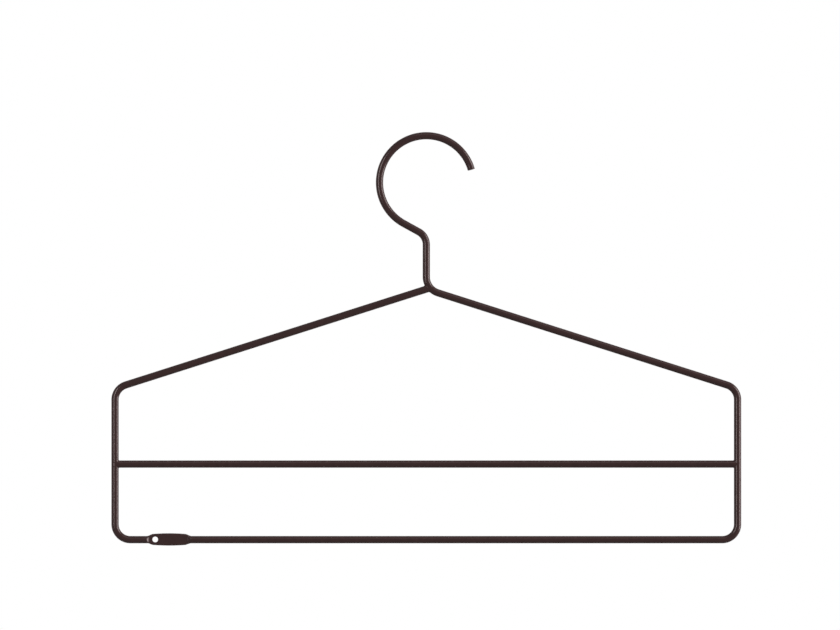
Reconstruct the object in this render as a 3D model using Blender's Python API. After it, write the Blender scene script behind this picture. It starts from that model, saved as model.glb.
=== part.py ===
"""A coat hanger bent from one steel rod, with a trouser bar welded between its sides.

The rod starts at the hook's tip, runs round the hook, down the neck, out along the right shoulder, round the
frame and back up the left shoulder, where its end is welded to the foot of the neck. Near the left end of the
bottom run the rod is pressed flat and pierced. Everything lies in the XZ plane, with the neck at x = 0 and the
origin on the underside of the hook's crown. Units are metres.
"""

import math

import bmesh
import bpy
from mathutils import Matrix, Vector

# The coated rod
WIRE_DIAMETER = 0.0052
WIRE_SIDES = 24

# The frame, to the outside of the side runs, and between rod axes in height
OVERALL_WIDTH = 0.450
SIDE_HEIGHT = 0.1081
SHOULDER_RISE = 0.0709
CORNER_BEND_RADIUS = 0.0110
TROUSER_BAR_HEIGHT = 0.0540

# The neck and the hook
NECK_HEIGHT = 0.0380
NECK_FOOT_BEND_RADIUS = 0.0120
NECK_TOP_BEND_RADIUS = 0.0105
NECK_TO_HOOK_ANGLE = math.radians(28.8)
HOOK_BORE_RADIUS = 0.03085
HOOK_TIP_ANGLE = math.radians(15.8)
HOOK_TIP_CHAMFER = 0.0004

# The flat that is pressed into the bottom run, and the hole through it
FLAT_LENGTH = 0.0320
FLAT_TO_SIDE = 0.02285
FLAT_RISE = 0.00016
FLAT_THICKNESS = 0.0023
FLAT_HEIGHT = 0.0088
FLAT_BARREL = 0.0009
FLAT_EDGE_BULGE = 0.0009
LEFT_FLARE_LENGTH = 0.0043
RIGHT_FLARE_LENGTH = 0.0048
LEFT_RAMP_LENGTH = 0.0026
RIGHT_RAMP_LENGTH = 0.0034
HOLE_DIAMETER = 0.0041
HOLE_TO_FLAT_END = 0.00585
HOLE_SIDES = 32

# The welds, each a nugget between a rod's end and the side of the rod that it meets
WELD_LENGTH = 0.0012
WELD_FLARE = 0.0005
WELD_STATIONS = 3
FIT_GAP = 0.0003

# The coat, with its colour linear
COAT_COLOUR = (0.042, 0.027, 0.026, 1)
COAT_ROUGHNESS = 0.38

# How finely the rod is bent and shaded
BEND_STEP = math.radians(6)
HOOK_STEP = math.radians(4.5)
FLARE_STATIONS = 8
BARREL_STATIONS = 8
CAP_RINGS = 3
SHARP_ANGLE = math.radians(35)

WIRE_RADIUS = WIRE_DIAMETER / 2
SIDE_X = OVERALL_WIDTH / 2 - WIRE_RADIUS
HOOK_RADIUS = HOOK_BORE_RADIUS + WIRE_RADIUS
SHOULDER_ANGLE = math.atan2(SHOULDER_RISE, SIDE_X)
BEND_AXIS = Vector((0, 1, 0))
UPRIGHT = Vector((0, 0, 1))

HOOK_CENTRE = Vector((0, 0, -HOOK_BORE_RADIUS))
HOOK_FOOT_ANGLE = 3 * math.pi / 2 - NECK_TO_HOOK_ANGLE
HOOK_FOOT = HOOK_CENTRE + HOOK_RADIUS * Vector((math.cos(HOOK_FOOT_ANGLE), 0, math.sin(HOOK_FOOT_ANGLE)))
NECK_TOP = Vector((0, 0, HOOK_FOOT.z + HOOK_FOOT.x * math.tan(NECK_TO_HOOK_ANGLE)))
NECK_FOOT = NECK_TOP - NECK_HEIGHT * UPRIGHT
BOTTOM_Z = NECK_FOOT.z - SHOULDER_RISE - SIDE_HEIGHT
SHOULDER_Z = BOTTOM_Z + SIDE_HEIGHT
BAR_Z = BOTTOM_Z + TROUSER_BAR_HEIGHT
FLAT_MIDDLE_X = -SIDE_X + FLAT_TO_SIDE + FLAT_LENGTH / 2
HOLE_X = FLAT_MIDDLE_X - FLAT_LENGTH / 2 + HOLE_TO_FLAT_END

# The bend at the foot of the neck, which the end of the left shoulder meets
FOOT_TURN = math.pi / 2 - SHOULDER_ANGLE
FOOT_BEND_CENTRE = NECK_FOOT + Vector(
    (NECK_FOOT_BEND_RADIUS, 0, NECK_FOOT_BEND_RADIUS * math.tan(FOOT_TURN / 2))
)
LEFT_SHOULDER_DIRECTION = Vector((math.cos(SHOULDER_ANGLE), 0, math.sin(SHOULDER_ANGLE)))
LEFT_SHOULDER_NORMAL = LEFT_SHOULDER_DIRECTION.cross(BEND_AXIS)

# How far short of the axis of the side runs the trouser bar is cut
BAR_END_TO_SIDE = WIRE_RADIUS + WELD_LENGTH


def clear_scene():
    """Remove whatever the scene holds."""
    for obj in list(bpy.data.objects):
        bpy.data.objects.remove(obj, do_unlink=True)


def powder_coat(piece):
    """The dark brown satin coat, as a material of one piece's own."""
    coat = bpy.data.materials.new(f"{piece}_coat")
    coat.use_nodes = True
    shader = coat.node_tree.nodes["Principled BSDF"]
    shader.inputs["Base Color"].default_value = COAT_COLOUR
    shader.inputs["Roughness"].default_value = COAT_ROUGHNESS
    shader.inputs["Metallic"].default_value = 0.0
    return coat


def smoothstep(value):
    """0 below 0, 1 above 1, and a smooth rise between."""
    t = min(1.0, max(0.0, value))
    return t * t * (3 - 2 * t)


def ring_at(bm, centre, heading):
    """The edges of a new circle of the rod's section, square to heading."""
    turn = UPRIGHT.rotation_difference(heading).to_matrix().to_4x4()
    made = bmesh.ops.create_circle(
        bm, segments=WIRE_SIDES, radius=WIRE_RADIUS, matrix=Matrix.Translation(centre) @ turn
    )
    return list({edge for vertex in made["verts"] for edge in vertex.link_edges})


def feed(bm, ring, step):
    """Draw the rod straight on by step, and return its new end ring."""
    made = bmesh.ops.extrude_edge_only(bm, edges=ring)["geom"]
    bmesh.ops.translate(bm, verts=[v for v in made if isinstance(v, bmesh.types.BMVert)], vec=step)
    return [edge for edge in made if isinstance(edge, bmesh.types.BMEdge)]


def bend(bm, ring, centre, angle, largest_step):
    """Bend the rod about centre, clockwise in the front view for a positive angle, and return its end ring."""
    made = bmesh.ops.spin(
        bm, geom=ring, cent=centre, axis=BEND_AXIS, angle=angle, steps=math.ceil(abs(angle) / largest_step)
    )["geom_last"]
    return [edge for edge in made if isinstance(edge, bmesh.types.BMEdge)]


def bend_round_corner(bm, ring, at, corner, after, radius, stations=()):
    """Feed the rod from at towards the corner, through any stations on the way, and bend it round the corner.

    at is the centre of the rod's end ring, and after is the point that the next run heads for.
    Returns the new end ring and its centre.
    """
    incoming = (corner - at).normalized()
    outgoing = (after - corner).normalized()
    turn = incoming.angle(outgoing)
    start = corner - incoming * radius * math.tan(turn / 2)
    for stop in (*stations, start):
        ring = feed(bm, ring, stop - at)
        at = stop
    clockwise = incoming.cross(outgoing).dot(BEND_AXIS)
    side = BEND_AXIS.cross(incoming) * math.copysign(1, clockwise)
    ring = bend(bm, ring, start + side * radius, math.copysign(turn, clockwise), BEND_STEP)
    return ring, corner + outgoing * radius * math.tan(turn / 2)


def flat_stations():
    """Where the rod needs rings to take the pressed flat, from its right end to its left."""
    half = FLAT_LENGTH / 2
    barrel_length = FLAT_LENGTH - LEFT_FLARE_LENGTH - RIGHT_FLARE_LENGTH
    offsets = [half]
    for length, steps in (
        (RIGHT_FLARE_LENGTH, FLARE_STATIONS),
        (barrel_length, BARREL_STATIONS),
        (LEFT_FLARE_LENGTH, FLARE_STATIONS),
    ):
        start = offsets[-1]
        offsets += [start - length * step / steps for step in range(1, steps + 1)]
    return [Vector((FLAT_MIDDLE_X + offset, 0, BOTTOM_Z)) for offset in offsets]


def press_flat(bm):
    """Press the rod between two dies: its faces go flat, and its edges spread into a slight barrel.

    The dies sit a little high, so the flat lies FLAT_RISE above the rod's axis.
    """
    half_length = FLAT_LENGTH / 2
    half_thickness = FLAT_THICKNESS / 2
    for vertex in bm.verts:
        offset = abs(vertex.co.x - FLAT_MIDDLE_X)
        if abs(vertex.co.z - BOTTOM_Z) > WIRE_DIAMETER or offset >= half_length:
            continue
        on_left = vertex.co.x < FLAT_MIDDLE_X
        flare_length = LEFT_FLARE_LENGTH if on_left else RIGHT_FLARE_LENGTH
        ramp_length = LEFT_RAMP_LENGTH if on_left else RIGHT_RAMP_LENGTH
        spread = smoothstep((half_length - offset) / flare_length)
        pressed = smoothstep((half_length - offset) / ramp_length)
        barrel = FLAT_HEIGHT / 2 - FLAT_BARREL * (offset / half_length) ** 2
        half_height = WIRE_RADIUS + (barrel - WIRE_RADIUS) * spread
        across, up = vertex.co.y, vertex.co.z - BOTTOM_Z
        around = math.atan2(abs(across), abs(up))
        corner = half_height - FLAT_EDGE_BULGE
        if around <= math.pi / 4:
            flat_y = half_thickness * math.sin(2 * around)
            flat_z = corner + FLAT_EDGE_BULGE * math.cos(2 * around)
        else:
            flat_y = half_thickness
            flat_z = corner * (math.pi / 2 - around) / (math.pi / 4)
        vertex.co.y = math.copysign(abs(across) + (flat_y - abs(across)) * pressed, across)
        vertex.co.z = BOTTOM_Z + math.copysign(abs(up) + (flat_z - abs(up)) * pressed, up)
        vertex.co.z += FLAT_RISE * pressed


def cap(bm, ring):
    """Close an end ring with a flat face."""
    bmesh.ops.contextual_create(bm, geom=ring)


def dished_cap(bm, ring):
    """Close an end ring with a face and a few rings inside it, and return the vertices of all of them."""
    middle = bmesh.ops.contextual_create(bm, geom=ring)["faces"]
    capped = list(middle)
    for _ in range(CAP_RINGS):
        inset = bmesh.ops.inset_region(bm, faces=middle, thickness=WIRE_RADIUS / (CAP_RINGS + 1))
        capped += inset["faces"]
    return {vertex for face in capped for vertex in face.verts}


def vertices_of(ring):
    """The vertices of a ring of edges."""
    return {vertex for edge in ring for vertex in edge.verts}


def reach_of_bar_end(point):
    """How far point goes in X to the end of a bar, cut square beside an upright rod at x = 0."""
    return -BAR_END_TO_SIDE - point.x


def reach_of_side(point, gap):
    """How far point goes in X to come this near to an upright rod at x = 0."""
    return -point.x - math.sqrt((WIRE_RADIUS + gap) ** 2 - point.y**2)


def reach_of_neck(point, gap):
    """How far point goes along the left shoulder to come this near to the bend at the foot of the neck."""
    outwards = NECK_FOOT_BEND_RADIUS + math.sqrt((WIRE_RADIUS + gap) ** 2 - point.y**2)
    to_centre = FOOT_BEND_CENTRE - Vector((point.x, 0, point.z))
    along = to_centre.dot(LEFT_SHOULDER_DIRECTION)
    return along - math.sqrt(outwards**2 - to_centre.length_squared + along**2)


def reach_of_shoulder_end(point):
    """How far point goes along the left shoulder to its end, which is cut on the slant of the bend it meets."""
    top, bottom = (
        reach_of_neck(NECK_FOOT + side * WIRE_RADIUS * LEFT_SHOULDER_NORMAL, 0) for side in (1, -1)
    )
    height = (point - NECK_FOOT).dot(LEFT_SHOULDER_NORMAL)
    slant = (top - bottom) / WIRE_DIAMETER
    along = (point - NECK_FOOT).dot(LEFT_SHOULDER_DIRECTION)
    return (top + bottom) / 2 + slant * height - WELD_LENGTH - along


def add_weld_body(bm, end, direction, reach_of_end, reach_of_host):
    """Add a weld nugget that runs from a rod's end to the rod it meets, and flares out as it gets there."""
    normal = direction.cross(BEND_AXIS)
    ring = ring_at(bm, end, direction)
    near = vertices_of(ring)
    cap(bm, ring)
    between = []
    for _ in range(WELD_STATIONS - 1):
        ring = feed(bm, ring, Vector())
        between.append(vertices_of(ring))
    far = dished_cap(bm, feed(bm, ring, Vector()))
    for step, vertices in enumerate((near, *between, far)):
        share = step / WELD_STATIONS
        for vertex in vertices:
            height = (vertex.co - end).dot(normal)
            vertex.co += normal * height * share**2 * WELD_FLARE / WIRE_RADIUS
            nearest = reach_of_end(vertex.co) + FIT_GAP
            farthest = reach_of_host(vertex.co, FIT_GAP)
            vertex.co += direction * (nearest + share * (farthest - nearest))


def new_object(name, mesh, place, location=(0, 0, 0)):
    """An object of mesh, in the scene, under the empty place."""
    obj = bpy.data.objects.new(name, mesh)
    bpy.context.scene.collection.objects.link(obj)
    obj.parent = place
    obj.location = location
    return obj


def shade(mesh):
    """Shade mesh smooth, but for its sharp edges."""
    mesh.shade_smooth()
    mesh.set_sharp_from_angle(angle=SHARP_ANGLE)


def mesh_of(bm, name):
    """A smooth-shaded mesh of bm, with a coat of its own, and bm is freed."""
    bmesh.ops.recalc_face_normals(bm, faces=bm.faces)
    mesh = bpy.data.meshes.new(name)
    bm.to_mesh(mesh)
    bm.free()
    mesh.materials.append(powder_coat(name))
    shade(mesh)
    return mesh


def frame_wire_mesh():
    """The whole bent rod, from the hook's tip to the end of the left shoulder."""
    bm = bmesh.new()
    tip = HOOK_CENTRE + HOOK_RADIUS * Vector((math.cos(HOOK_TIP_ANGLE), 0, math.sin(HOOK_TIP_ANGLE)))
    ring = ring_at(bm, tip, Vector((-math.sin(HOOK_TIP_ANGLE), 0, math.cos(HOOK_TIP_ANGLE))))
    tip_edges = list(ring)
    cap(bm, ring)
    ring = bend(bm, ring, HOOK_CENTRE, HOOK_TIP_ANGLE - HOOK_FOOT_ANGLE, HOOK_STEP)
    right_shoulder = Vector((SIDE_X, 0, SHOULDER_Z))
    right_foot = Vector((SIDE_X, 0, BOTTOM_Z))
    left_foot = Vector((-SIDE_X, 0, BOTTOM_Z))
    left_shoulder = Vector((-SIDE_X, 0, SHOULDER_Z))
    corners = (
        (NECK_TOP, NECK_TOP_BEND_RADIUS, ()),
        (NECK_FOOT, NECK_FOOT_BEND_RADIUS, ()),
        (right_shoulder, CORNER_BEND_RADIUS, ()),
        (right_foot, CORNER_BEND_RADIUS, ()),
        (left_foot, CORNER_BEND_RADIUS, flat_stations()),
        (left_shoulder, CORNER_BEND_RADIUS, ()),
    )
    headings = [corner for corner, _, _ in corners[1:]] + [NECK_FOOT]
    at = HOOK_FOOT
    for (corner, radius, stations), after in zip(corners, headings, strict=True):
        ring, at = bend_round_corner(bm, ring, at, corner, after, radius, stations)
    ring = feed(bm, ring, NECK_FOOT - WIRE_DIAMETER * LEFT_SHOULDER_DIRECTION - at)
    for vertex in vertices_of(ring):
        vertex.co += LEFT_SHOULDER_DIRECTION * reach_of_shoulder_end(vertex.co)
    cap(bm, ring)
    press_flat(bm)
    bmesh.ops.bevel(
        bm, geom=tip_edges, offset=HOOK_TIP_CHAMFER, segments=2, profile=0.5, affect="EDGES", material=-1
    )
    return mesh_of(bm, "frame_wire")


def hole_punch():
    """A cutter for the hole through the pressed flat."""
    bm = bmesh.new()
    bmesh.ops.create_cone(
        bm,
        cap_ends=True,
        segments=HOLE_SIDES,
        radius1=HOLE_DIAMETER / 2,
        radius2=HOLE_DIAMETER / 2,
        depth=2 * WIRE_DIAMETER,
        matrix=Matrix.Rotation(math.pi / 2, 4, "X"),
    )
    return mesh_of(bm, "hole_punch")


def punch_hole(wire, punch):
    """Cut the punch out of the rod, and keep the edges of the hole sharp."""
    cut = wire.modifiers.new("hole", "BOOLEAN")
    cut.operation = "DIFFERENCE"
    cut.solver = "EXACT"
    cut.object = punch
    pierced = bpy.data.meshes.new_from_object(wire.evaluated_get(bpy.context.evaluated_depsgraph_get()))
    wire.modifiers.remove(cut)
    bpy.data.objects.remove(punch)
    shade(pierced)
    wire.data = pierced


def add_frame_wire(hanger):
    """The bent rod, with the hole punched through its flat."""
    wire = new_object("frame_wire", frame_wire_mesh(), hanger)
    punch_hole(wire, new_object("hole_punch", hole_punch(), hanger, (HOLE_X, 0, BOTTOM_Z + FLAT_RISE)))


def add_trouser_bar(hanger):
    """The straight rod between the sides, cut square at both ends."""
    bm = bmesh.new()
    half = SIDE_X - BAR_END_TO_SIDE
    left = ring_at(bm, Vector((-half, 0, 0)), Vector((1, 0, 0)))
    right = feed(bm, left, Vector((2 * half, 0, 0)))
    cap(bm, left)
    cap(bm, right)
    new_object("trouser_bar", mesh_of(bm, "trouser_bar"), hanger, (0, 0, BAR_Z))


def add_bar_welds(hanger):
    """The welds between the two ends of the trouser bar and the sides of the frame."""
    bm = bmesh.new()
    add_weld_body(bm, Vector(), Vector((1, 0, 0)), reach_of_bar_end, reach_of_side)
    mesh = mesh_of(bm, "bar_weld")
    for name, side, turn in (("right_bar_weld", 1, 0), ("left_bar_weld", -1, math.pi)):
        weld = new_object(name, mesh, hanger, (side * SIDE_X, 0, BAR_Z))
        weld.rotation_euler.z = turn


def add_neck_weld(hanger):
    """The weld between the end of the left shoulder and the foot of the neck."""
    bm = bmesh.new()
    add_weld_body(bm, NECK_FOOT, LEFT_SHOULDER_DIRECTION, reach_of_shoulder_end, reach_of_neck)
    bmesh.ops.translate(bm, verts=bm.verts, vec=-NECK_FOOT)
    new_object("neck_weld", mesh_of(bm, "neck_weld"), hanger, NECK_FOOT)


def main():
    """Build the hanger under one empty at the crown of the hook."""
    clear_scene()
    hanger = bpy.data.objects.new("hanger", None)
    bpy.context.scene.collection.objects.link(hanger)
    add_frame_wire(hanger)
    add_trouser_bar(hanger)
    add_bar_welds(hanger)
    add_neck_weld(hanger)


main()
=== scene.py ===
"""The looks of a coat hanger bent from one steel rod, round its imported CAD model.

Five pieces stand for the five CAD nodes: the bent wire with its pressed and pierced flat, the trouser bar,
and the welds at the neck and at the two ends of the bar. All wear one satin powder coat. Units are metres, X
runs across the hanger, Y away from the viewer and Z up, with the origin under the crown of the hook.
"""

import sys
import logging
import math
from collections.abc import Callable, Iterable, Sequence
from dataclasses import dataclass, field
from enum import Enum

import bmesh
import bpy
from bmesh.types import BMEdge, BMesh, BMVert
from mathutils import Matrix, Quaternion, Vector


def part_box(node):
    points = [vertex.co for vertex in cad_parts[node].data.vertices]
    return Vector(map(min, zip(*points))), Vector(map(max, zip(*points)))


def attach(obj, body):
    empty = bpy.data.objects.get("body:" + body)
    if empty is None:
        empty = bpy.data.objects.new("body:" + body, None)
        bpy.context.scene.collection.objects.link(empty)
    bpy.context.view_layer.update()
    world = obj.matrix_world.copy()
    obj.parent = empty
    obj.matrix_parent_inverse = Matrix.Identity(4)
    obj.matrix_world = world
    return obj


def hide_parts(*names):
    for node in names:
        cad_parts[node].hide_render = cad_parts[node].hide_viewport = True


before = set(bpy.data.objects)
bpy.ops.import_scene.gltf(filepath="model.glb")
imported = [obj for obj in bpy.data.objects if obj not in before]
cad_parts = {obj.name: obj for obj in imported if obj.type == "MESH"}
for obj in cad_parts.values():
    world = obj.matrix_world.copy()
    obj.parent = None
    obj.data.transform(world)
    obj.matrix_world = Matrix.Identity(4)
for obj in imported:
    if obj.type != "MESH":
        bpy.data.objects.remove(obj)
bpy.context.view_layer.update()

LOG = logging.getLogger("coat_hanger")
BODY = "root"
AWAY = Vector((0, 1, 0))
UPRIGHT = Vector((0, 0, 1))
BEND_AXIS = AWAY
RIGHT_ANGLE = math.pi / 2
EIGHTH_TURN = math.pi / 4
SHARP_ANGLE = math.radians(40)
SEAM_DISTANCE = 1e-6


class Side(Enum):
    """A side of the hanger, as the viewer sees it."""

    LEFT = -1
    RIGHT = 1


def smoothstep(value: float) -> float:
    """Ease a value from 0 to 1.

    Args:
        value: What is eased, and held at 0 below 0 and at 1 above 1.

    Returns:
        The eased value.
    """
    t = min(1.0, max(0.0, value))
    return t * t * (3 - 2 * t)


def soft_minimum(first: float, second: float, rounding: float) -> float:
    """The smaller of two values, with the change from one to the other rounded.

    Args:
        first: One value.
        second: The other value.
        rounding: How wide the change is.

    Returns:
        The smaller value, or a little less where they are near each other.
    """
    return (first + second - math.hypot(first - second, rounding)) / 2


def vertices_of(edges: Iterable[BMEdge]) -> set[BMVert]:
    """The vertices of some edges."""
    return {vertex for edge in edges for vertex in edge.verts}


def round_edges(bm: BMesh, edges: list[BMEdge], rounding: float, segments: int) -> None:
    """Round some edges of a mesh.

    Args:
        bm: The mesh.
        edges: Its edges to round.
        rounding: How far the rounding reaches to either side.
        segments: How finely it is made.
    """
    bmesh.ops.bevel(
        bm, geom=edges, offset=rounding, segments=segments, profile=0.5, affect="EDGES", material=-1
    )


def ranged(
    tree: bpy.types.NodeTree,
    value: bpy.types.NodeSocket,
    source: tuple[float, float],
    target: tuple[float, float],
    interpolation: str = "LINEAR",
) -> bpy.types.NodeSocket:
    """Map one range of a value on to another.

    Args:
        tree: The node tree that the node is added to.
        value: The value.
        source: The range that is mapped. What lies outside is held at its ends.
        target: What it becomes.
        interpolation: How the value goes from the one end to the other.

    Returns:
        The socket that carries the mapped value.
    """
    node = tree.nodes.new("ShaderNodeMapRange")
    node.interpolation_type = interpolation
    node.inputs["From Min"].default_value, node.inputs["From Max"].default_value = source
    node.inputs["To Min"].default_value, node.inputs["To Max"].default_value = target
    tree.links.new(value, node.inputs["Value"])
    return node.outputs["Result"]


def combined(
    tree: bpy.types.NodeTree, operation: str, first: bpy.types.NodeSocket, second: bpy.types.NodeSocket
) -> bpy.types.NodeSocket:
    """Combine two values.

    Args:
        tree: The node tree that the node is added to.
        operation: What the math node does with them.
        first: One value.
        second: The other value.

    Returns:
        The socket that carries the combined value.
    """
    node = tree.nodes.new("ShaderNodeMath")
    node.operation = operation
    tree.links.new(first, node.inputs[0])
    tree.links.new(second, node.inputs[1])
    return node.outputs["Value"]


@dataclass(frozen=True)
class PowderCoat:
    """The dark brown satin powder coat: its tone, its faint mottle and its fine pebbled skin.

    Attributes:
        light_tone: The colour where the coat lies thin, linear.
        dark_tone: The colour where it lies thick, linear.
        roughness: The mean roughness where the coat is seen square on.
        edge_roughness: The mean roughness at a grazing angle, where the pebbles hide each other.
        edge_start: Where the roughness starts to change from one to the other, 0 being square on.
        edge_stop: Where it has changed, 1 being edge on.
        roughness_spread: How far the roughness goes to either side of its mean.
        specular: The specular level, which is low because the pebbles shade each other.
        specular_tint: The tint of its reflections, linear.
        mottle_size: The size of the patches of tone.
        mottle_detail: How many finer octaves the patches have.
        pebble_size: The size of the pebbles.
        pebble_detail: How many finer octaves the pebbles have.
        pebble_height: The height of the pebbles.
        grain_range: The part of a noise that goes from its low side to its high side.
    """

    light_tone: tuple[float, float, float] = (0.0245, 0.0105, 0.0101)
    dark_tone: tuple[float, float, float] = (0.0185, 0.0078, 0.0075)
    roughness: float = 0.17
    edge_roughness: float = 1.0
    edge_start: float = 0.35
    edge_stop: float = 0.65
    roughness_spread: float = 0.02
    specular: float = 0.20
    specular_tint: tuple[float, float, float] = (1.0, 0.84, 0.83)
    mottle_size: float = 0.0030
    mottle_detail: float = 3.0
    pebble_size: float = 0.0009
    pebble_detail: float = 1.0
    pebble_height: float = 0.000010
    grain_range: tuple[float, float] = (0.3, 0.7)

    def material(self, piece: str) -> bpy.types.Material:
        """Make the coat for one piece.

        Args:
            piece: The name of the piece that wears it.

        Returns:
            The new material.
        """
        material = bpy.data.materials.new(f"{piece}_powder_coat")
        material.use_nodes = True
        tree = material.node_tree
        nodes, links = tree.nodes, tree.links
        shader = nodes["Principled BSDF"]
        shader.inputs["Metallic"].default_value = 0.0
        shader.inputs["Specular IOR Level"].default_value = self.specular
        shader.inputs["Specular Tint"].default_value = (*self.specular_tint, 1)
        place = nodes.new("ShaderNodeTexCoord").outputs["Object"]

        mottle = self._noise(tree, place, self.mottle_size, self.mottle_detail)
        tone = nodes.new("ShaderNodeMix")
        tone.data_type = "RGBA"
        tone.inputs["A"].default_value = (*self.dark_tone, 1)
        tone.inputs["B"].default_value = (*self.light_tone, 1)
        links.new(ranged(tree, mottle, self.grain_range, (0.0, 1.0)), tone.inputs["Factor"])
        links.new(tone.outputs["Result"], shader.inputs["Base Color"])

        pebbles = self._noise(tree, place, self.pebble_size, self.pebble_detail)
        grazing = nodes.new("ShaderNodeLayerWeight").outputs["Facing"]
        edge = (self.edge_start, self.edge_stop)
        mean_roughness = ranged(tree, grazing, edge, (self.roughness, self.edge_roughness))
        spread = ranged(tree, pebbles, self.grain_range, (-self.roughness_spread, self.roughness_spread))
        links.new(combined(tree, "ADD", mean_roughness, spread), shader.inputs["Roughness"])

        bump = nodes.new("ShaderNodeBump")
        bump.inputs["Distance"].default_value = self.pebble_height
        links.new(pebbles, bump.inputs["Height"])
        links.new(bump.outputs["Normal"], shader.inputs["Normal"])
        return material

    @staticmethod
    def _noise(
        tree: bpy.types.NodeTree, place: bpy.types.NodeSocket, size: float, detail: float
    ) -> bpy.types.NodeSocket:
        """Add a noise of a given grain.

        Args:
            tree: The material's node tree.
            place: The coordinates that the noise follows.
            size: The size of its grain.
            detail: How many finer octaves it has.

        Returns:
            The socket that carries the noise.
        """
        noise = tree.nodes.new("ShaderNodeTexNoise")
        noise.inputs["Scale"].default_value = 1 / size
        noise.inputs["Detail"].default_value = detail
        tree.links.new(place, noise.inputs["Vector"])
        return noise.outputs["Fac"]


@dataclass(frozen=True)
class Rod:
    """The coated rod, and the ways to draw and bend it.

    Attributes:
        diameter: Its diameter over the coat.
        sides: How many sides its section has.
        bend_step: The largest turn between two rings of a bend.
    """

    diameter: float
    sides: int = 72
    bend_step: float = math.radians(2.5)

    @property
    def radius(self) -> float:
        """Half the diameter."""
        return self.diameter / 2

    @property
    def side_angle(self) -> float:
        """The angle between two corners of the section."""
        return 2 * math.pi / self.sides

    def ring_at(self, bm: BMesh, centre: Vector, heading: Vector) -> list[BMEdge]:
        """Start a rod with a ring square to its heading.

        Args:
            bm: The mesh that it is made in.
            centre: The middle of the ring.
            heading: The direction that the rod goes.

        Returns:
            The edges of the ring.
        """
        turn = UPRIGHT.rotation_difference(heading).to_matrix().to_4x4()
        made = bmesh.ops.create_circle(
            bm, segments=self.sides, radius=self.radius, matrix=Matrix.Translation(centre) @ turn
        )
        return list(dict.fromkeys(edge for vertex in made["verts"] for edge in vertex.link_edges))

    def feed(self, bm: BMesh, ring: list[BMEdge], step: Vector) -> list[BMEdge]:
        """Draw the rod straight on.

        Args:
            bm: The mesh that it is made in.
            ring: The rod's end ring.
            step: How far it goes on.

        Returns:
            The new end ring.
        """
        made = bmesh.ops.extrude_edge_only(bm, edges=ring)["geom"]
        bmesh.ops.translate(bm, verts=[part for part in made if isinstance(part, BMVert)], vec=step)
        return [part for part in made if isinstance(part, BMEdge)]

    def bend(self, bm: BMesh, ring: list[BMEdge], centre: Vector, angle: float) -> list[BMEdge]:
        """Bend the rod on from its end.

        Args:
            bm: The mesh that it is made in.
            ring: The rod's end ring.
            centre: The middle of the bend.
            angle: How far it turns, clockwise in the front view if positive.

        Returns:
            The new end ring.
        """
        made = bmesh.ops.spin(
            bm,
            geom=ring,
            cent=centre,
            axis=BEND_AXIS,
            angle=angle,
            steps=math.ceil(abs(angle) / self.bend_step),
            use_merge=False,
        )["geom_last"]
        return [part for part in made if isinstance(part, BMEdge)]

    def bend_round_corner(
        self,
        bm: BMesh,
        ring: list[BMEdge],
        at: Vector,
        corner: Vector,
        after: Vector,
        radius: float,
        stations: Sequence[Vector] = (),
    ) -> tuple[list[BMEdge], Vector]:
        """Feed the rod towards a corner, through any stations on the way, and bend it round the corner.

        Args:
            bm: The mesh that it is made in.
            ring: The rod's end ring.
            at: The middle of that ring.
            corner: Where the axes of the two runs cross.
            after: The point that the next run heads for.
            radius: The radius of the bend's axis.
            stations: Where the run before the bend needs rings.

        Returns:
            The new end ring and its middle.
        """
        incoming = (corner - at).normalized()
        outgoing = (after - corner).normalized()
        turn = incoming.angle(outgoing)
        setback = radius * math.tan(turn / 2)
        start = corner - incoming * setback
        for stop in (*stations, start):
            ring = self.feed(bm, ring, stop - at)
            at = stop
        clockwise = math.copysign(1, incoming.cross(outgoing).dot(BEND_AXIS))
        centre = start + BEND_AXIS.cross(incoming) * clockwise * radius
        return self.bend(bm, ring, centre, turn * clockwise), corner + outgoing * setback


@dataclass(frozen=True)
class Ramp:
    """One end of the pressed flat, where a die's slope runs into the round rod.

    Attributes:
        profile: How deep the die goes, in shares of its full depth, at distances from the flat's end.
        rounding: How far the rounding of the die's corners reaches to either side.
        squeeze: 0 where the die slices into the round rod, and 1 where the section sinks alike all round.
        flare_start: How far inside the flat's end its edges start to spread.
        flare: How far on from there they reach their full height.
    """

    profile: tuple[tuple[float, float], ...]
    rounding: float
    squeeze: float
    flare_start: float
    flare: float

    @property
    def reach(self) -> float:
        """How far inside the flat's end its edges have their full height."""
        return self.flare_start + self.flare

    def depth_share(self, distance: float) -> float:
        """How deep the die has gone.

        Args:
            distance: How far inside the flat's end.

        Returns:
            The share of the full depth there.
        """
        if distance >= self.profile[-1][0]:
            return self.profile[-1][1]
        for (start, before), (stop, after) in zip(self.profile, self.profile[1:]):
            if distance < stop:
                return before + (after - before) * max(0.0, distance - start) / (stop - start)
        return self.profile[-1][1]

    def rounded_depth_share(self, distance: float) -> float:
        """The depth with the die's corners rounded.

        Args:
            distance: How far inside the flat's end.

        Returns:
            The share of the full depth there.
        """
        spread = (-1.0, -0.5, 0.0, 0.5, 1.0)
        return sum(self.depth_share(distance + self.rounding * offset) for offset in spread) / len(spread)


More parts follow.
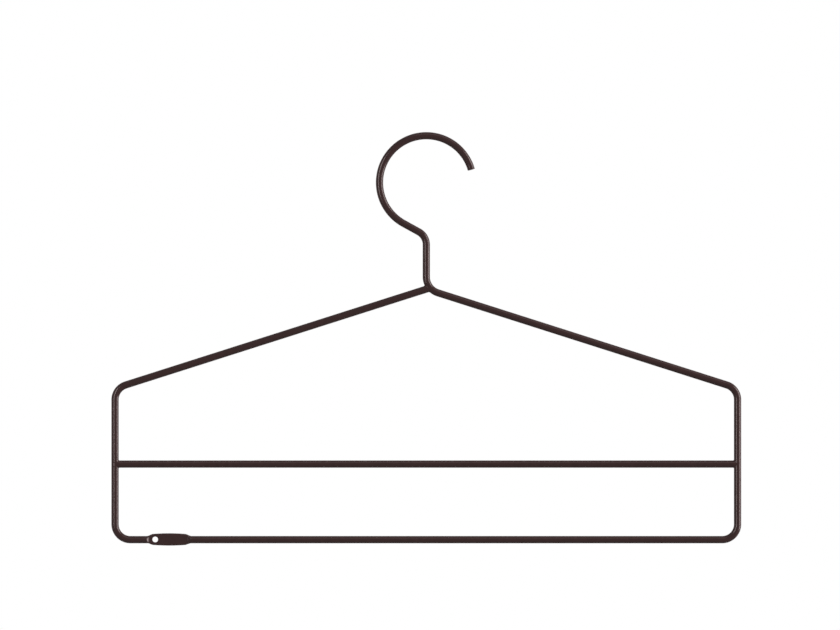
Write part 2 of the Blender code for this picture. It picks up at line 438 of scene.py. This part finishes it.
@dataclass
class PressedFlat:
    """The flat that two dies press into the bottom run, and the hole through it.

    Attributes:
        length: The length of the pressed stretch.
        to_side: How far it starts from the axis of the left side run.
        rise: How far it lies above the rod's axis.
        thickness: Its thickness.
        height: Its height at its middle.
        barrel: How much lower each edge is at its ends.
        edge_bulge: How far the rounded edge goes past the flat face.
        left_ramp: The ramp at the left end.
        right_ramp: The ramp at the right end.
        ramp_step: The distance between rings on the ramps.
        support: How far outside the flat the round rod has its nearest ring.
        barrel_step: The largest distance between rings elsewhere.
        crease: How wide the crease is where the die leaves the round rod.
        crease_onset: The share of the die's depth over which the crease gets its width.
        squared_from: The share of the die's depth from which the round section turns square.
        hole_diameter: The diameter of the hole.
        hole_to_end: How far the hole's axis is from the flat's left end.
        hole_half_cells: How many cells of the grid lie between the hole's axis and its edge.
        patch_half_cells: How many cells of the grid the hole's edge may pull, from its axis.
        hole_rim: The rounding of the hole's rims.
        hole_rim_segments: How finely the rims are rounded.
    """

    length: float = 0.0324
    to_side: float = 0.02245
    rise: float = 0.00016
    thickness: float = 0.0023
    height: float = 0.0088
    barrel: float = 0.0009
    edge_bulge: float = 0.0009
    left_ramp: Ramp = Ramp(
        profile=((0.0, 0.0), (0.00033, 0.06), (0.00147, 0.71), (0.0022, 1.0)),
        rounding=0.0002,
        squeeze=0.1,
        flare_start=0.0004,
        flare=0.0043,
    )
    right_ramp: Ramp = Ramp(
        profile=((0.0, 0.0), (0.0028, 1.0)),
        rounding=0.0001,
        squeeze=0.2,
        flare_start=0.0,
        flare=0.0048,
    )
    ramp_step: float = 0.0001
    support: float = 0.0003
    barrel_step: float = 0.0015
    crease: float = 0.00012
    crease_onset: float = 0.125
    squared_from: float = 0.5
    hole_diameter: float = 0.0041
    hole_to_end: float = 0.00625
    hole_half_cells: int = 6
    patch_half_cells: int = 8
    hole_rim: float = 0.0001
    hole_rim_segments: int = 3

    def middle_x(self, side_x: float) -> float:
        """Where the middle of the flat is, with the side runs' axes at plus and minus side_x."""
        return -side_x + self.to_side + self.length / 2

    def hole_x(self, side_x: float) -> float:
        """Where the hole's axis is, with the side runs' axes at plus and minus side_x."""
        return self.middle_x(side_x) - self.length / 2 + self.hole_to_end

    def face_half_height(self, half_height: float) -> float:
        """How high the flat face goes, under an edge of this half height."""
        return half_height - self.edge_bulge

    def cell(self, rod: Rod) -> float:
        """The length of a cell of the grid round the hole, which is as long as it is high.

        Args:
            rod: The rod that is pressed. An eighth of its sides make half the flat face.

        Returns:
            The length of a cell.
        """
        cells = rod.sides // 8
        end_share = 1 - 2 * self.hole_to_end / self.length
        half_height = self.height / 2 - self.barrel * end_share**2
        return self.face_half_height(half_height) / cells

    def stations(self, rod: Rod, side_x: float, bottom_z: float) -> list[Vector]:
        """Where the rod needs rings, from the flat's right end to its left.

        Args:
            rod: The rod that is pressed.
            side_x: The distance of the side runs' axes from the neck.
            bottom_z: The height of the bottom run's axis.

        Returns:
            The middles of the rings.
        """
        middle, hole, cell = self.middle_x(side_x), self.hole_x(side_x), self.cell(rod)
        half = self.length / 2
        grid = [hole + cell * index for index in range(self.patch_half_cells, -self.patch_half_cells - 1, -1)]
        right_reach = self.right_ramp.reach
        right_count = math.ceil(right_reach / self.ramp_step)
        right = [middle + half - right_reach * index / right_count for index in range(right_count + 1)]
        count = math.ceil((right[-1] - grid[0]) / self.barrel_step)
        between = [right[-1] + (grid[0] - right[-1]) * index / count for index in range(1, count)]
        left_length = grid[-1] - (middle - half)
        left_count = math.ceil(left_length / self.ramp_step)
        left = [grid[-1] - left_length * index / left_count for index in range(1, left_count + 1)]
        right_support, left_support = middle + half + self.support, middle - half - self.support
        places = (right_support, *right, *between, *grid, *left, left_support)
        return [Vector((x, 0, bottom_z)) for x in places]

    def press(self, bm: BMesh, rod: Rod, side_x: float, bottom_z: float) -> None:
        """Press the rod flat, and pull the faces' grid to the hole's edge and cut the hole.

        Args:
            bm: The mesh of the bent rod.
            rod: The rod that is pressed.
            side_x: The distance of the side runs' axes from the neck.
            bottom_z: The height of the bottom run's axis.
        """
        middle, hole = self.middle_x(side_x), self.hole_x(side_x)
        half = self.length / 2
        rims: dict[int, set[BMVert]] = {-1: set(), 1: set()}
        inside: set[BMVert] = set()
        for vertex in bm.verts:
            offset = vertex.co.x - middle
            if abs(vertex.co.z - bottom_z) > rod.diameter or abs(offset) >= half:
                continue
            across, up = vertex.co.y, vertex.co.z - bottom_z
            around = math.atan2(abs(across), abs(up))
            y, z = self._section(rod, offset, around)
            column = round((vertex.co.x - hole) / self.cell(rod))
            row = round((RIGHT_ANGLE - around) / rod.side_angle)
            reach = max(abs(column), row)
            if around > EIGHTH_TURN and reach < self.patch_half_cells:
                x, z = self._pulled(rod, column, row)
                vertex.co.x = hole + x
                if reach <= self.hole_half_cells:
                    inside.add(vertex)
                if reach == self.hole_half_cells:
                    rims[int(math.copysign(1, across))].add(vertex)
            vertex.co.y = math.copysign(y, across)
            vertex.co.z = bottom_z + self.rise * self._sunk(offset) + math.copysign(z, up)
        self._cut_hole(bm, inside, rims)

    def _ramp(self, offset: float) -> Ramp:
        """The ramp on the side of the flat's middle where offset is."""
        return self.right_ramp if offset > 0 else self.left_ramp

    def _sunk(self, offset: float) -> float:
        """How deep the die has gone at offset from the flat's middle, as a share of its full depth."""
        return self._ramp(offset).rounded_depth_share(self.length / 2 - abs(offset))

    def _section(self, rod: Rod, offset: float, around: float) -> tuple[float, float]:
        """A point of the pressed section.

        Args:
            rod: The rod that is pressed.
            offset: How far right of the flat's middle the section is.
            around: The angle of the point from the upright, before the rod is pressed.

        Returns:
            How far the point is from the rod's axis in Y and in Z.
        """
        share = self._sunk(offset)
        gap = rod.radius - (rod.radius - self.thickness / 2) * share
        half_height = self._half_height(rod, offset)
        round_y = self._sliced(rod, offset, around, gap)
        round_z = half_height * math.cos(around)
        flat_y, flat_z = self._squared(half_height, around)
        squared = smoothstep((share - self.squared_from) / (1 - self.squared_from))
        y = round_y + (flat_y * gap - round_y) * squared
        z = round_z + (flat_z - round_z) * squared
        return y, z

    def _half_height(self, rod: Rod, offset: float) -> float:
        """Half the height of the pressed section, which flares from the rod to the barrelled outline.

        Args:
            rod: The rod that is pressed.
            offset: How far right of the flat's middle the section is.

        Returns:
            Half its height.
        """
        ramp = self._ramp(offset)
        half = self.length / 2
        full = self.height / 2 - self.barrel * (offset / half) ** 2
        spread = smoothstep((half - abs(offset) - ramp.flare_start) / ramp.flare)
        return rod.radius + (full - rod.radius) * spread

    def _sliced(self, rod: Rod, offset: float, around: float, gap: float) -> float:
        """How far from the rod's axis a point of the round rod is in Y, once the die has reached it.

        Args:
            rod: The rod that is pressed.
            offset: How far right of the flat's middle the point is.
            around: The angle of the point from the upright, before the rod is pressed.
            gap: How far the die is from the rod's axis.

        Returns:
            The distance in Y.
        """
        share = self._sunk(offset)
        round_y = rod.radius * math.sin(around)
        sliced = soft_minimum(round_y, gap, self.crease * min(1.0, share / self.crease_onset))
        sunk = round_y + (min(round_y, self.thickness / 2) - round_y) * share
        return sliced + (sunk - sliced) * self._ramp(offset).squeeze

    def _squared(self, half_height: float, around: float) -> tuple[float, float]:
        """A point of the fully pressed section, which has flat faces and rounded edges.

        Args:
            half_height: Half the height of the section.
            around: The angle of the point from the upright, before the rod is pressed.

        Returns:
            Its distance from the rod's axis in Y, as a share of half the thickness, and in Z.
        """
        corner = self.face_half_height(half_height)
        if around <= EIGHTH_TURN:
            return math.sin(2 * around), corner + self.edge_bulge * math.cos(2 * around)
        return 1.0, corner * (RIGHT_ANGLE - around) / EIGHTH_TURN

    def _pulled(self, rod: Rod, column: int, row: int) -> tuple[float, float]:
        """Where a point of the grid goes when the grid is pulled to the hole's round edge.

        Args:
            rod: The rod that is pressed.
            column: The point's column from the hole's axis, in cells.
            row: The point's row from the hole's axis, in cells.

        Returns:
            How far the point is from the hole's axis in X and in Z.
        """
        reach = max(abs(column), row)
        if reach == 0:
            return 0.0, 0.0
        patch = self.patch_half_cells * self.cell(rod)
        square = Vector((column, row)) * patch / reach
        circle = Vector((column, row)).normalized() * self.hole_diameter / 2
        share = (reach - self.hole_half_cells) / (self.patch_half_cells - self.hole_half_cells)
        return tuple(circle.lerp(square, max(0.0, share)))

    def _cut_hole(self, bm: BMesh, inside: set[BMVert], rims: dict[int, set[BMVert]]) -> None:
        """Open both faces, join the openings with the hole's wall, and round its rims.

        Args:
            bm: The mesh of the bent rod.
            inside: The vertices on and inside the hole's edge.
            rims: The vertices on the hole's edge, for the front and for the back.
        """
        gone = [face for face in bm.faces if all(vertex in inside for vertex in face.verts)]
        bmesh.ops.delete(bm, geom=gone, context="FACES")
        edges = [
            edge
            for edge in bm.edges
            if edge.is_boundary and any(all(vertex in rim for vertex in edge.verts) for rim in rims.values())
        ]
        bmesh.ops.bridge_loops(bm, edges=edges)
        round_edges(bm, edges, self.hole_rim, self.hole_rim_segments)


class Piece:
    """A finished piece of the hanger, which stands for one CAD node."""

    def __init__(self, bm: BMesh, name: str, coat: PowderCoat) -> None:
        """Finish a mesh as a piece.

        Args:
            bm: Its mesh, which is freed.
            name: The name of the CAD node, which also begins the name of its material.
            coat: The finish that it wears.
        """
        bmesh.ops.recalc_face_normals(bm, faces=bm.faces)
        mesh = bpy.data.meshes.new(name)
        bm.to_mesh(mesh)
        bm.free()
        mesh.shade_smooth()
        mesh.set_sharp_from_angle(angle=SHARP_ANGLE)
        mesh.materials.append(coat.material(name))
        self.object = bpy.data.objects.new(f"{name}_coated", mesh)
        bpy.context.scene.collection.objects.link(self.object)
        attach(self.object, BODY)
        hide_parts(name)
        LOG.info("%s: %d faces", name, len(mesh.polygons))


@dataclass
class Shape:
    """The lines that the rods follow, which the bent wire, the bar and the welds share.

    Attributes:
        rod: The coated rod.
        side_x: The distance of the side runs' axes from the neck.
        bottom_z: The height of the bottom run's axis.
        bar_z: The height of the trouser bar's axis.
        side_height: The height of the side runs, between the corners.
        shoulder_rise: The rise of the shoulders, from the corners to the foot of the neck.
        neck_foot_radius: The radius of the bend at the foot of the neck.
    """

    rod: Rod
    side_x: float
    bottom_z: float
    bar_z: float
    side_height: float = 0.1081
    shoulder_rise: float = 0.0709
    neck_foot_radius: float = 0.0120

    @classmethod
    def of_frame(cls, flat: PressedFlat) -> "Shape":
        """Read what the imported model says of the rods' places.

        Args:
            flat: The pressed flat, which is the lowest part of the bent wire.

        Returns:
            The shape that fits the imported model.
        """
        bar_low, bar_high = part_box("trouser_bar")
        wire_low, wire_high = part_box("frame_wire")
        rod = Rod(diameter=bar_high.y - bar_low.y)
        return cls(
            rod=rod,
            side_x=(wire_high.x - wire_low.x) / 2 - rod.radius,
            bottom_z=wire_low.z + flat.height / 2 - flat.rise,
            bar_z=(bar_low.z + bar_high.z) / 2,
        )

    @property
    def shoulder_z(self) -> float:
        """The height of the corners between the shoulders and the sides."""
        return self.bottom_z + self.side_height

    @property
    def neck_foot(self) -> Vector:
        """Where the neck's axis meets the shoulders' axes."""
        return Vector((0, 0, self.shoulder_z + self.shoulder_rise))

    @property
    def shoulder_direction(self) -> Vector:
        """The way that the left shoulder rises."""
        return Vector((self.side_x, 0, self.shoulder_rise)).normalized()

    @property
    def neck_foot_bend_centre(self) -> Vector:
        """The middle of the bend at the foot of the neck."""
        turn = self.shoulder_direction.angle(UPRIGHT)
        radius = self.neck_foot_radius
        return self.neck_foot + Vector((radius, 0, radius * math.tan(turn / 2)))


@dataclass
class BentWire:
    """The one rod that makes the hook, the neck, the shoulders, the sides and the bottom run.

    Attributes:
        shape: The lines that the rods follow.
        flat: The flat that is pressed into the bottom run.
        corner_radius: The bend radius of the frame's four corners.
        neck_height: The height of the neck, between the corners of its axis.
        neck_top_radius: The radius of the bend at the top of the neck.
        neck_to_hook_angle: How far the hook's foot is round from straight below its middle.
        hook_bore_radius: The inner radius of the hook.
        hook_tip_angle: How far the tip is above the middle of the hook.
        tip_rounding: The rounding of the cut tip's edge.
        tip_segments: How finely that edge is rounded.
    """

    shape: Shape
    flat: PressedFlat
    corner_radius: float = 0.0110
    neck_height: float = 0.0380
    neck_top_radius: float = 0.0105
    neck_to_hook_angle: float = math.radians(28.8)
    hook_bore_radius: float = 0.03085
    hook_tip_angle: float = math.radians(15.8)
    tip_rounding: float = 0.0004
    tip_segments: int = 4

    def build(self, coat: PowderCoat) -> Piece:
        """Bend the rod, press its flat and dress it.

        Args:
            coat: The finish that it wears.

        Returns:
            The finished piece.
        """
        bm = bmesh.new()
        tip_edges, ring, at = self._hook(bm)
        ring, at = self._frame(bm, ring, at)
        self._left_shoulder_end(bm, ring, at)
        self.flat.press(bm, self.shape.rod, self.shape.side_x, self.shape.bottom_z)
        round_edges(bm, tip_edges, self.tip_rounding, self.tip_segments)
        return Piece(bm, "frame_wire", coat)

    def _hook(self, bm: BMesh) -> tuple[list[BMEdge], list[BMEdge], Vector]:
        """Start at the tip and bend the hook.

        Args:
            bm: The mesh that it is made in.

        Returns:
            The edges of the cut tip, the rod's end ring, and the middle of that ring.
        """
        rod = self.shape.rod
        radius = self.hook_bore_radius + rod.radius
        centre = Vector((0, 0, -self.hook_bore_radius))
        foot_angle = 3 * RIGHT_ANGLE - self.neck_to_hook_angle
        tip, foot = (
            centre + radius * Vector((math.cos(angle), 0, math.sin(angle)))
            for angle in (self.hook_tip_angle, foot_angle)
        )
        heading = BEND_AXIS.cross(centre - tip)
        ring = rod.ring_at(bm, tip, heading.normalized())
        tip_edges = list(ring)
        bmesh.ops.contextual_create(bm, geom=ring)
        ring = rod.bend(bm, ring, centre, self.hook_tip_angle - foot_angle)
        return tip_edges, ring, foot

    def _frame(self, bm: BMesh, ring: list[BMEdge], at: Vector) -> tuple[list[BMEdge], Vector]:
        """Bend the neck and the frame, clockwise round from the foot of the neck.

        Args:
            bm: The mesh that it is made in.
            ring: The ring at the hook's foot.
            at: The middle of that ring.

        Returns:
            The rod's end ring past the left shoulder's corner, and its middle.
        """
        shape = self.shape
        neck_foot = shape.neck_foot
        neck_top = neck_foot + self.neck_height * UPRIGHT
        right_shoulder = Vector((shape.side_x, 0, shape.shoulder_z))
        right_foot = Vector((shape.side_x, 0, shape.bottom_z))
        left_foot = Vector((-shape.side_x, 0, shape.bottom_z))
        left_shoulder = Vector((-shape.side_x, 0, shape.shoulder_z))
        stations = self.flat.stations(shape.rod, shape.side_x, shape.bottom_z)
        corners = (
            (neck_top, self.neck_top_radius, ()),
            (neck_foot, shape.neck_foot_radius, ()),
            (right_shoulder, self.corner_radius, ()),
            (right_foot, self.corner_radius, ()),
            (left_foot, self.corner_radius, stations),
            (left_shoulder, self.corner_radius, ()),
        )
        headings = [corner for corner, _, _ in corners[1:]] + [neck_foot]
        for (corner, radius, stops), after in zip(corners, headings, strict=True):
            ring, at = shape.rod.bend_round_corner(bm, ring, at, corner, after, radius, stops)
        return ring, at

    def _left_shoulder_end(self, bm: BMesh, ring: list[BMEdge], at: Vector) -> None:
        """Run the left shoulder into the bend at the foot of the neck, and close it there.

        Args:
            bm: The mesh that it is made in.
            ring: The rod's end ring.
            at: The middle of that ring.
        """
        shape = self.shape
        direction = shape.shoulder_direction
        to_centre = shape.neck_foot_bend_centre - at
        along = to_centre.dot(direction)
        reach = along - math.sqrt(shape.neck_foot_radius**2 - to_centre.length_squared + along**2)
        ring = shape.rod.feed(bm, ring, direction * reach)
        bmesh.ops.contextual_create(bm, geom=ring)


@dataclass
class TrouserBar:
    """The straight rod across the frame.

    Attributes:
        shape: The lines that the rods follow.
    """

    shape: Shape

    def build(self, coat: PowderCoat) -> Piece:
        """Draw the bar from the left side's axis to the right side's, and dress it.

        Args:
            coat: The finish that it wears.

        Returns:
            The finished piece.
        """
        shape = self.shape
        bm = bmesh.new()
        left = shape.rod.ring_at(bm, Vector((-shape.side_x, 0, shape.bar_z)), Vector((1, 0, 0)))
        right = shape.rod.feed(bm, left, Vector((2 * shape.side_x, 0, 0)))
        bmesh.ops.contextual_create(bm, geom=left)
        bmesh.ops.contextual_create(bm, geom=right)
        return Piece(bm, "trouser_bar", coat)


@dataclass
class Welds:
    """The fused metal in the corners where a rod's end meets another rod.

    Attributes:
        shape: The lines that the rods follow.
        fillet: How far the fused metal reaches along each rod.
        stations: How many steps each fillet has.
    """

    shape: Shape
    fillet: float = 0.0008
    stations: int = 6

    def build(self, coat: PowderCoat) -> list[Piece]:
        """Make and dress the welds.

        Args:
            coat: The finish that they wear.

        Returns:
            The finished pieces.
        """
        bar_welds = [self._bar_weld(side, coat) for side in Side]
        return [*bar_welds, self._neck_weld(coat)]

    def _bar_weld(self, side: Side, coat: PowderCoat) -> Piece:
        """The weld at one end of the trouser bar.

        Args:
            side: Which end.
            coat: The finish that it wears.

        Returns:
            The finished piece.
        """
        radius = self.shape.rod.radius
        end = Vector((side.value * self.shape.side_x, 0, self.shape.bar_z))
        outwards = Vector((side.value, 0, 0))

        def host_point(y: float, height: float, along_host: float) -> Vector:
            """The side run's surface at y, beside the joint's edge at height and along_host further on."""
            depth = math.sqrt(max(0.0, radius**2 - y**2))
            return end + Vector((0, y, height + along_host)) - outwards * depth

        name = f"{side.name.lower()}_bar_weld"
        return self._weld(name, end, outwards, host_point, coat)

    def _neck_weld(self, coat: PowderCoat) -> Piece:
        """The weld between the left shoulder's end and the bend at the foot of the neck.

        Args:
            coat: The finish that it wears.

        Returns:
            The finished piece.
        """
        shape = self.shape
        radius = shape.rod.radius
        direction = shape.shoulder_direction
        normal = direction.cross(BEND_AXIS)
        centre = shape.neck_foot_bend_centre

        def host_point(y: float, height: float, along_host: float) -> Vector:
            """The bend's surface at y, beside the joint's edge at height and along_host further on."""
            outer = shape.neck_foot_radius + math.sqrt(max(0.0, radius**2 - y**2))
            start = shape.neck_foot + normal * height
            to_centre = centre - start
            along = to_centre.dot(direction)
            edge = start + direction * (along - math.sqrt(outer**2 - to_centre.length_squared + along**2))
            turned = Matrix.Rotation(along_host / outer, 3, BEND_AXIS) @ (edge - centre)
            return centre + turned + Vector((0, y, 0))

        return self._weld("neck_weld", shape.neck_foot, direction, host_point, coat)

    def _weld(
        self,
        name: str,
        end: Vector,
        direction: Vector,
        host_point: Callable[[float, float, float], Vector],
        coat: PowderCoat,
    ) -> Piece:
        """Make a weld whose skin runs hollow from a rod's end on to the rod that it meets.

        Args:
            name: The CAD node that it stands for.
            end: A point on the axis of the rod that ends.
            direction: The way that this rod goes to its end.
            host_point: Gives points on the rod that it meets.
            coat: The finish that it wears.

        Returns:
            The finished piece.
        """
        rod = self.shape.rod
        normal = direction.cross(BEND_AXIS)
        bm = bmesh.new()
        rings = [rod.ring_at(bm, end, direction)]
        for _ in range(self.stations):
            rings.append(rod.feed(bm, rings[-1], Vector()))
        caps = [
            face
            for ring in (rings[0], rings[-1])
            for face in bmesh.ops.contextual_create(bm, geom=ring)["faces"]
        ]
        loops = [vertices_of(ring) for ring in rings]
        for index, loop in enumerate(loops):
            share = index / self.stations
            for vertex in loop:
                height, y = (vertex.co - end).dot(normal), vertex.co.y
                upright = abs(height) / rod.radius
                reach = self.fillet * upright
                edge = host_point(y, height, 0.0)
                host = host_point(y, height, math.copysign(reach, height))
                own = edge - direction * reach
                own_part, edge_part, host_part = (1 - share) ** 2, 2 * share * (1 - share), share**2
                vertex.co = own * own_part + edge * edge_part + host * host_part
        bmesh.ops.poke(bm, faces=caps)
        bmesh.ops.remove_doubles(bm, verts=bm.verts, dist=SEAM_DISTANCE)
        return Piece(bm, name, coat)


@dataclass(frozen=True)
class Softbox:
    """A soft lamp, placed by its direction from the hanger.

    Attributes:
        name: Its name.
        azimuth: How far round it is from the camera, to the right, in degrees.
        elevation: How high it is, in degrees.
        distance: How far off it is.
        width: Its width.
        height: Its height.
        radiance: How bright its face is, where a white backdrop is 1.
        lean: How far it leans clockwise as the hanger sees it, in degrees.
    """

    name: str
    azimuth: float
    elevation: float
    distance: float
    width: float
    height: float
    radiance: float
    lean: float = 0.0

    def place(self, target: Vector) -> None:
        """Hang the lamp and turn it to the hanger.

        Args:
            target: The middle of the hanger.
        """
        azimuth, elevation, lean = (
            math.radians(angle) for angle in (self.azimuth, self.elevation, self.lean)
        )
        away = Vector(
            (
                math.sin(azimuth) * math.cos(elevation),
                -math.cos(azimuth) * math.cos(elevation),
                math.sin(elevation),
            )
        )
        light = bpy.data.lights.new(self.name, "AREA")
        light.shape = "RECTANGLE"
        light.size, light.size_y = self.width, self.height
        light.energy = self.radiance * math.pi * self.width * self.height
        lamp = bpy.data.objects.new(self.name, light)
        lamp.location = target + away * self.distance
        turn = away.to_track_quat("Z", "Y") @ Quaternion(UPRIGHT, lean)
        lamp.rotation_euler = turn.to_euler()
        lamp.visible_camera = False
        bpy.context.scene.collection.objects.link(lamp)
        LOG.info("%s: %.1f W", self.name, light.energy)


@dataclass
class Studio:
    """The white floor and surroundings, the soft lamps and the camera.

    Attributes:
        picture_width: The width of the picture where the hanger hangs.
        picture_centre: The point of the hanger's plane in the middle of the picture.
        camera_distance: How far the camera stands off.
        sensor_width: The width of the camera's sensor, in millimetres.
        near_clip: How near the camera sees.
        floor_z: The height of the floor.
        floor_size: The length of the floor's sides.
        floor_colour: The colour of the floor, linear.
        white_near: How far the floor is faded to white under the hanger, as a share.
        fade_start: How far off the floor starts to fade on.
        fade_stop: How far off it is as white as the surroundings.
        ambient: The strength of the light from all round.
        softboxes: The lamps.
    """

    picture_width: float = 0.600188
    picture_centre: Vector = field(default_factory=lambda: Vector((-0.00451, 0, -0.1255)))
    camera_distance: float = 4.0
    sensor_width: float = 36.0
    near_clip: float = 0.05
    floor_z: float = -2.20
    floor_size: float = 60.0
    floor_colour: tuple[float, float, float] = (0.5, 0.5, 0.5)
    white_near: float = 0.4
    fade_start: float = 1.0
    fade_stop: float = 4.0
    ambient: float = 0.06
    softboxes: tuple[Softbox, ...] = (
        Softbox("right_window", azimuth=75, elevation=11, distance=2.4, width=0.45, height=2.9, radiance=16),
        Softbox("right_fill", azimuth=79, elevation=8, distance=2.6, width=2.8, height=2.6, radiance=3.6),
        Softbox(
            "left_strip", azimuth=-39, elevation=10, distance=3, width=0.8, height=2.0, radiance=13.5, lean=24
        ),
        Softbox("top_softbox", azimuth=25, elevation=58, distance=2.6, width=2.4, height=1.0, radiance=1.6),
        Softbox("back_softbox", azimuth=180, elevation=35, distance=2.6, width=1.8, height=1.2, radiance=1.2),
    )

    def build(self) -> None:
        """Set up the surroundings, the lamps and the camera."""
        self._world()
        self._floor()
        for softbox in self.softboxes:
            softbox.place(self.picture_centre)
        self._camera()

    @staticmethod
    def _seen_directly(tree: bpy.types.NodeTree) -> bpy.types.NodeSocket:
        """Add what tells the rays that show the background from those that only light the hanger.

        Args:
            tree: The node tree of the world or of a material.

        Returns:
            A socket that is 1 for camera, glossy and transmission rays, and 0 for the others.
        """
        path = tree.nodes.new("ShaderNodeLightPath")
        seen = path.outputs["Is Camera Ray"]
        for name in ("Is Glossy Ray", "Is Transmission Ray"):
            seen = combined(tree, "MAXIMUM", seen, path.outputs[name])
        return seen

    def _world(self) -> None:
        """Make the surroundings: white where they are seen, and dimmer as a light."""
        world = bpy.data.worlds.new("surroundings")
        world.use_nodes = True
        bpy.context.scene.world = world
        tree = world.node_tree
        background = tree.nodes["Background"]
        background.inputs["Color"].default_value = (1, 1, 1, 1)
        strength = ranged(tree, self._seen_directly(tree), (0.0, 1.0), (self.ambient, 1.0))
        tree.links.new(strength, background.inputs["Strength"])

    def _floor(self) -> None:
        """Lay the pale floor, which keeps the hanger's shadow and goes white further off."""
        bm = bmesh.new()
        bmesh.ops.create_grid(
            bm,
            x_segments=1,
            y_segments=1,
            size=self.floor_size / 2,
            matrix=Matrix.Translation((0, 0, self.floor_z)),
        )
        mesh = bpy.data.meshes.new("floor")
        bm.to_mesh(mesh)
        bm.free()
        mesh.materials.append(self._floor_material())
        floor = bpy.data.objects.new("floor", mesh)
        bpy.context.scene.collection.objects.link(floor)

    def _floor_material(self) -> bpy.types.Material:
        """Make the floor's finish.

        Returns:
            The new material.
        """
        material = bpy.data.materials.new("pale_floor")
        material.use_nodes = True
        tree = material.node_tree
        nodes, links = tree.nodes, tree.links
        nodes.remove(nodes["Principled BSDF"])
        matt = nodes.new("ShaderNodeBsdfDiffuse")
        matt.inputs["Color"].default_value = (*self.floor_colour, 1)
        white = nodes.new("ShaderNodeEmission")
        distance = nodes.new("ShaderNodeVectorMath")
        distance.operation = "LENGTH"
        links.new(nodes.new("ShaderNodeTexCoord").outputs["Object"], distance.inputs[0])
        fade = ranged(
            tree,
            distance.outputs["Value"],
            (self.fade_start, self.fade_stop),
            (self.white_near, 1.0),
            interpolation="SMOOTHSTEP",
        )
        blend = nodes.new("ShaderNodeMixShader")
        links.new(combined(tree, "MULTIPLY", fade, self._seen_directly(tree)), blend.inputs["Fac"])
        links.new(matt.outputs["BSDF"], blend.inputs[1])
        links.new(white.outputs["Emission"], blend.inputs[2])
        links.new(blend.outputs["Shader"], nodes["Material Output"].inputs["Surface"])
        return material

    def _camera(self) -> None:
        """Stand the camera square on to the hanger, at the photograph's framing."""
        data = bpy.data.cameras.new("camera")
        data.sensor_width = self.sensor_width
        data.lens = self.sensor_width * self.camera_distance / self.picture_width
        data.clip_start, data.clip_end = self.near_clip, 2 * self.floor_size
        camera = bpy.data.objects.new("camera", data)
        camera.location = self.picture_centre - self.camera_distance * AWAY
        camera.rotation_euler = (RIGHT_ANGLE, 0, 0)
        bpy.context.scene.collection.objects.link(camera)
        bpy.context.scene.camera = camera


def main() -> None:
    """Build the hanger and its studio."""
    logging.basicConfig(level=logging.INFO, format="%(message)s", stream=sys.stdout)
    bpy.context.scene.view_settings.view_transform = "Standard"
    coat = PowderCoat()
    flat = PressedFlat()
    shape = Shape.of_frame(flat)
    BentWire(shape, flat).build(coat)
    TrouserBar(shape).build(coat)
    Welds(shape).build(coat)
    Studio().build()


if __name__ == "__main__":
    main()
